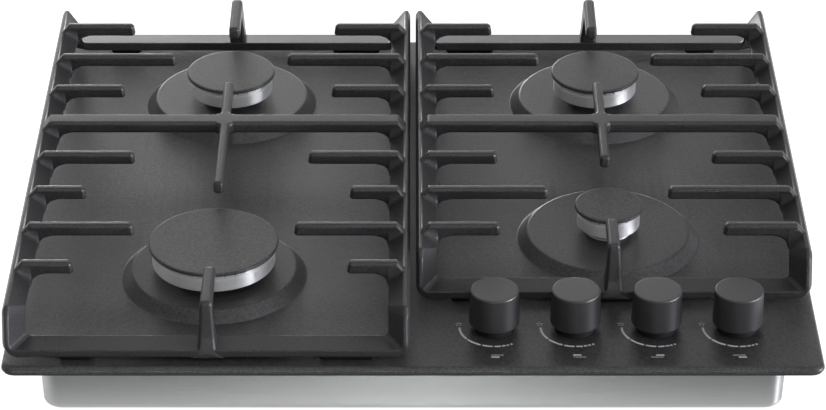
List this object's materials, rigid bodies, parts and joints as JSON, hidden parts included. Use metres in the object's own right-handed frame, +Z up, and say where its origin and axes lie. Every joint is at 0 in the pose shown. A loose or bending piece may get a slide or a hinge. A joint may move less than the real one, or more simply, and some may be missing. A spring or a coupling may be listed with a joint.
{
  "type": "gas cooktop",
  "caption": "Built-in gas cooktop: enamelled top plate, capped burners, cast-iron pan supports, push-and-turn knobs and a steel tray with the gas taps inside.",
  "frame": {"origin": "centre of the underside of the tray, at the bottom centre of the whole part", "axes": "+X to the right as the cook sees it, +Y to the back, +Z up"},
  "size_m": [0.6, 0.52, 0.0944],
  "materials": {
    "enamel_plate": "satin grey-black vitreous enamel",
    "stainless": "brushed stainless sheet",
    "seal_rubber": "matt black foam rubber",
    "burner_aluminium": "turned satin aluminium",
    "cap_enamel": "semi-matt black vitreous enamel",
    "ceramic_white": "glazed white ceramic",
    "steel_rod": "plain drawn steel",
    "pipe_aluminium": "soft drawn aluminium tube",
    "knob_plastic": "fine matt black moulding",
    "tap_brass": "pressed and machined brass",
    "manifold_steel": "zinc-plated steel tube",
    "generator_plastic": "moulded black plastic",
    "cast_iron": "matt black enamelled cast iron",
    "foot_rubber": "matt black rubber"
  },
  "bodies": {
    "chassis": {"top_plate": "enamel_plate", "base_tray": "stainless", "rim_seal": "seal_rubber", "burner_cup_front_left": "burner_aluminium", "spark_electrode_front_left": "ceramic_white", "flame_sensor_front_left": "steel_rod", "feed_pipe_front_left": "pipe_aluminium", "knob_seal_front_left": "seal_rubber", "tap_body_front_left": "tap_brass", "burner_cup_back_left": "burner_aluminium", "spark_electrode_back_left": "ceramic_white", "flame_sensor_back_left": "steel_rod", "feed_pipe_back_left": "pipe_aluminium", "knob_seal_back_left": "seal_rubber", "tap_body_back_left": "tap_brass", "burner_cup_back_right": "burner_aluminium", "spark_electrode_back_right": "ceramic_white", "flame_sensor_back_right": "steel_rod", "feed_pipe_back_right": "pipe_aluminium", "knob_seal_back_right": "seal_rubber", "tap_body_back_right": "tap_brass", "burner_cup_front_right": "burner_aluminium", "spark_electrode_front_right": "ceramic_white", "flame_sensor_front_right": "steel_rod", "feed_pipe_front_right": "pipe_aluminium", "knob_seal_front_right": "seal_rubber", "tap_body_front_right": "tap_brass", "gas_manifold": "manifold_steel", "inlet_elbow": "tap_brass", "ignition_generator": "generator_plastic"},
    "tap_plug_front_left": {"tap_plug_front_left": "tap_brass"},
    "knob_front_left": {"knob_front_left": "knob_plastic", "spindle_front_left": "steel_rod"},
    "tap_plug_back_left": {"tap_plug_back_left": "tap_brass"},
    "knob_back_left": {"knob_back_left": "knob_plastic", "spindle_back_left": "steel_rod"},
    "tap_plug_back_right": {"tap_plug_back_right": "tap_brass"},
    "knob_back_right": {"knob_back_right": "knob_plastic", "spindle_back_right": "steel_rod"},
    "tap_plug_front_right": {"tap_plug_front_right": "tap_brass"},
    "knob_front_right": {"knob_front_right": "knob_plastic", "spindle_front_right": "steel_rod"},
    "pan_support_left": {"pan_support_left": "cast_iron", "support_foot_left_front_outer": "foot_rubber", "support_foot_left_front_inner": "foot_rubber", "support_foot_left_back_outer": "foot_rubber", "support_foot_left_back_inner": "foot_rubber"},
    "pan_support_right": {"pan_support_right": "cast_iron", "support_foot_right_front_outer": "foot_rubber", "support_foot_right_front_inner": "foot_rubber", "support_foot_right_back_outer": "foot_rubber", "support_foot_right_back_inner": "foot_rubber"},
    "burner_crown_front_left": {"burner_crown_front_left": "burner_aluminium"},
    "burner_cap_front_left": {"burner_cap_front_left": "cap_enamel"},
    "burner_crown_back_left": {"burner_crown_back_left": "burner_aluminium"},
    "burner_cap_back_left": {"burner_cap_back_left": "cap_enamel"},
    "burner_crown_back_right": {"burner_crown_back_right": "burner_aluminium"},
    "burner_cap_back_right": {"burner_cap_back_right": "cap_enamel"},
    "burner_crown_front_right": {"burner_crown_front_right": "burner_aluminium"},
    "burner_cap_front_right": {"burner_cap_front_right": "cap_enamel"}
  },
  "joints": [
    {"name": "knob_turn_front_left", "type": "hinge", "parent": "chassis", "child": "tap_plug_front_left", "pos_m": [0.06, -0.2044, 0.048], "axis": [0, 0, 1], "range_deg": [0, 210]},
    {"name": "knob_press_front_left", "type": "slide", "parent": "tap_plug_front_left", "child": "knob_front_left", "axis": [0, 0, -1], "range_m": [0, 0.003], "stiffness_N_per_m": 400, "springref_m": -0.006},
    {"name": "knob_turn_back_left", "type": "hinge", "parent": "chassis", "child": "tap_plug_back_left", "pos_m": [0.12, -0.2044, 0.048], "axis": [0, 0, 1], "range_deg": [0, 210]},
    {"name": "knob_press_back_left", "type": "slide", "parent": "tap_plug_back_left", "child": "knob_back_left", "axis": [0, 0, -1], "range_m": [0, 0.003], "stiffness_N_per_m": 400, "springref_m": -0.006},
    {"name": "knob_turn_back_right", "type": "hinge", "parent": "chassis", "child": "tap_plug_back_right", "pos_m": [0.18, -0.2044, 0.048], "axis": [0, 0, 1], "range_deg": [0, 210]},
    {"name": "knob_press_back_right", "type": "slide", "parent": "tap_plug_back_right", "child": "knob_back_right", "axis": [0, 0, -1], "range_m": [0, 0.003], "stiffness_N_per_m": 400, "springref_m": -0.006},
    {"name": "knob_turn_front_right", "type": "hinge", "parent": "chassis", "child": "tap_plug_front_right", "pos_m": [0.24, -0.2044, 0.048], "axis": [0, 0, 1], "range_deg": [0, 210]},
    {"name": "knob_press_front_right", "type": "slide", "parent": "tap_plug_front_right", "child": "knob_front_right", "axis": [0, 0, -1], "range_m": [0, 0.003], "stiffness_N_per_m": 400, "springref_m": -0.006},
    {"name": "pan_support_lift_left", "type": "slide", "parent": "chassis", "child": "pan_support_left", "axis": [0, 0, 1], "range_m": [0, 0.06]},
    {"name": "pan_support_lift_right", "type": "slide", "parent": "chassis", "child": "pan_support_right", "axis": [0, 0, 1], "range_m": [0, 0.06]},
    {"name": "crown_lift_front_left", "type": "slide", "parent": "chassis", "child": "burner_crown_front_left", "axis": [0, 0, 1], "range_m": [0, 0.03]},
    {"name": "cap_lift_front_left", "type": "slide", "parent": "burner_crown_front_left", "child": "burner_cap_front_left", "axis": [0, 0, 1], "range_m": [0, 0.02]},
    {"name": "crown_lift_back_left", "type": "slide", "parent": "chassis", "child": "burner_crown_back_left", "axis": [0, 0, 1], "range_m": [0, 0.03]},
    {"name": "cap_lift_back_left", "type": "slide", "parent": "burner_crown_back_left", "child": "burner_cap_back_left", "axis": [0, 0, 1], "range_m": [0, 0.02]},
    {"name": "crown_lift_back_right", "type": "slide", "parent": "chassis", "child": "burner_crown_back_right", "axis": [0, 0, 1], "range_m": [0, 0.03]},
    {"name": "cap_lift_back_right", "type": "slide", "parent": "burner_crown_back_right", "child": "burner_cap_back_right", "axis": [0, 0, 1], "range_m": [0, 0.02]},
    {"name": "crown_lift_front_right", "type": "slide", "parent": "chassis", "child": "burner_crown_front_right", "axis": [0, 0, 1], "range_m": [0, 0.03]},
    {"name": "cap_lift_front_right", "type": "slide", "parent": "burner_crown_front_right", "child": "burner_cap_front_right", "axis": [0, 0, 1], "range_m": [0, 0.02]}
  ]
}
